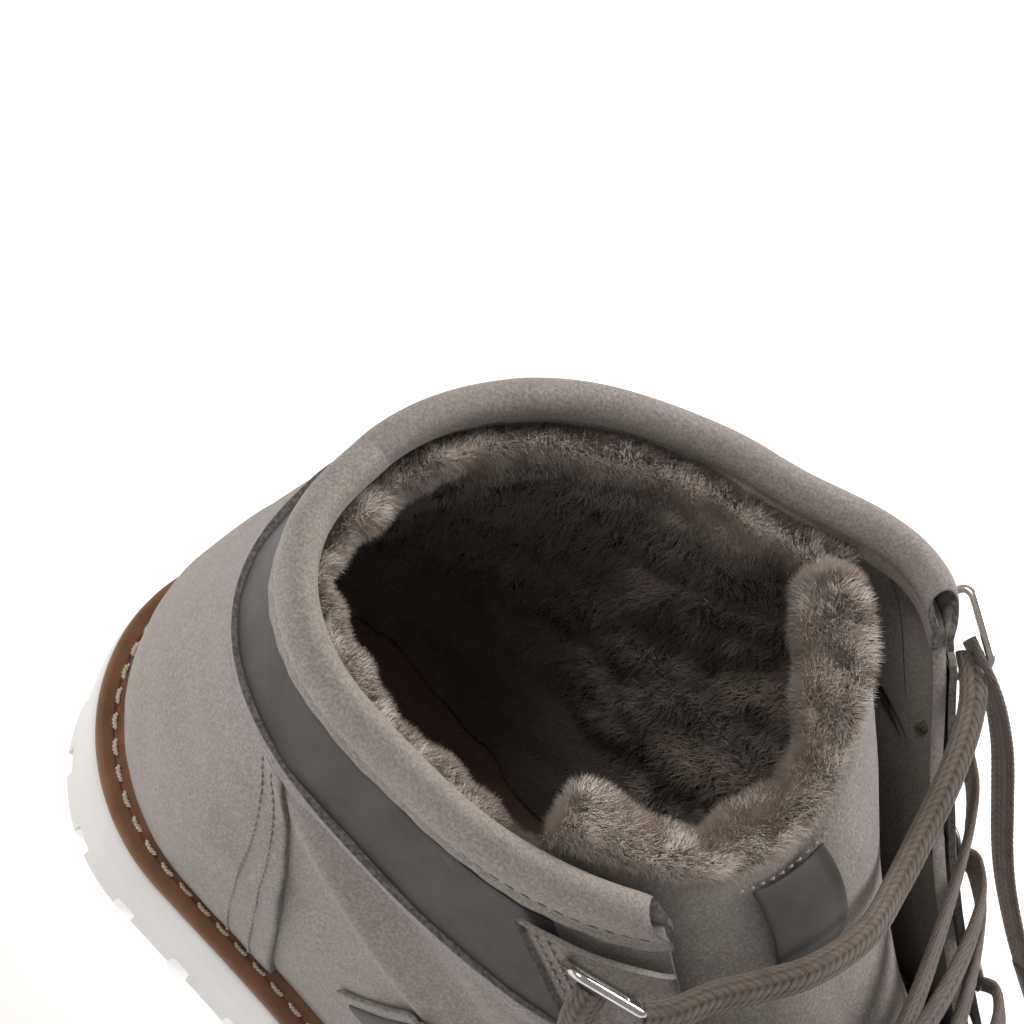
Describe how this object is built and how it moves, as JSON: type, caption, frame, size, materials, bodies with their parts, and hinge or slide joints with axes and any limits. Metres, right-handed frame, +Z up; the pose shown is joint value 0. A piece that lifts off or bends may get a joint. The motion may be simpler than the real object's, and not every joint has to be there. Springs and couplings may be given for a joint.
{
  "type": "sheepskin boot",
  "caption": "Sheepskin-lined lace-up ankle boot for the right foot, with a padded collar and a stitched welt on a lugged rubber sole.",
  "frame": {"origin": "on the floor, at the middle of the sole's length, on the flat tread", "axes": "+X from heel to toe, +Y to the inner (medial) side of the foot, +Z up"},
  "size_m": [0.2866, 0.1112, 0.1528],
  "materials": {
    "rubber": "matt off-white rubber",
    "welt_leather": "smooth brown leather",
    "suede": "warm grey suede with a short nap",
    "band_leather": "smooth dark grey leather",
    "fleece": "sheepskin pile",
    "insole_fleece": "short pressed pile",
    "lace": "flat braided cord",
    "steel": "polished steel wire",
    "eyelet_metal": "dark rolled metal"
  },
  "bodies": {
    "root": {"outsole": "rubber", "welt": "welt_leather", "insole": "insole_fleece", "upper": "suede", "sheepskin_lining": "fleece", "tongue": "suede", "tongue_fleece": "fleece", "heel_counter": "suede", "ankle_band": "band_leather", "eyestay_lateral": "suede", "eyestay_medial": "suede", "collar_roll": "suede", "pull_loop": "band_leather", "side_patch": "band_leather", "lace_bars": "lace", "lace_slack": "lace", "lace_free_end": "lace", "lace_outer_end": "lace", "d_ring_lateral": "steel", "d_ring_medial": "steel", "eyelet_lateral_1": "eyelet_metal", "eyelet_medial_1": "eyelet_metal", "eyelet_lateral_2": "eyelet_metal", "eyelet_medial_2": "eyelet_metal", "eyelet_lateral_3": "eyelet_metal", "eyelet_medial_3": "eyelet_metal"}
  },
  "joints": []
}
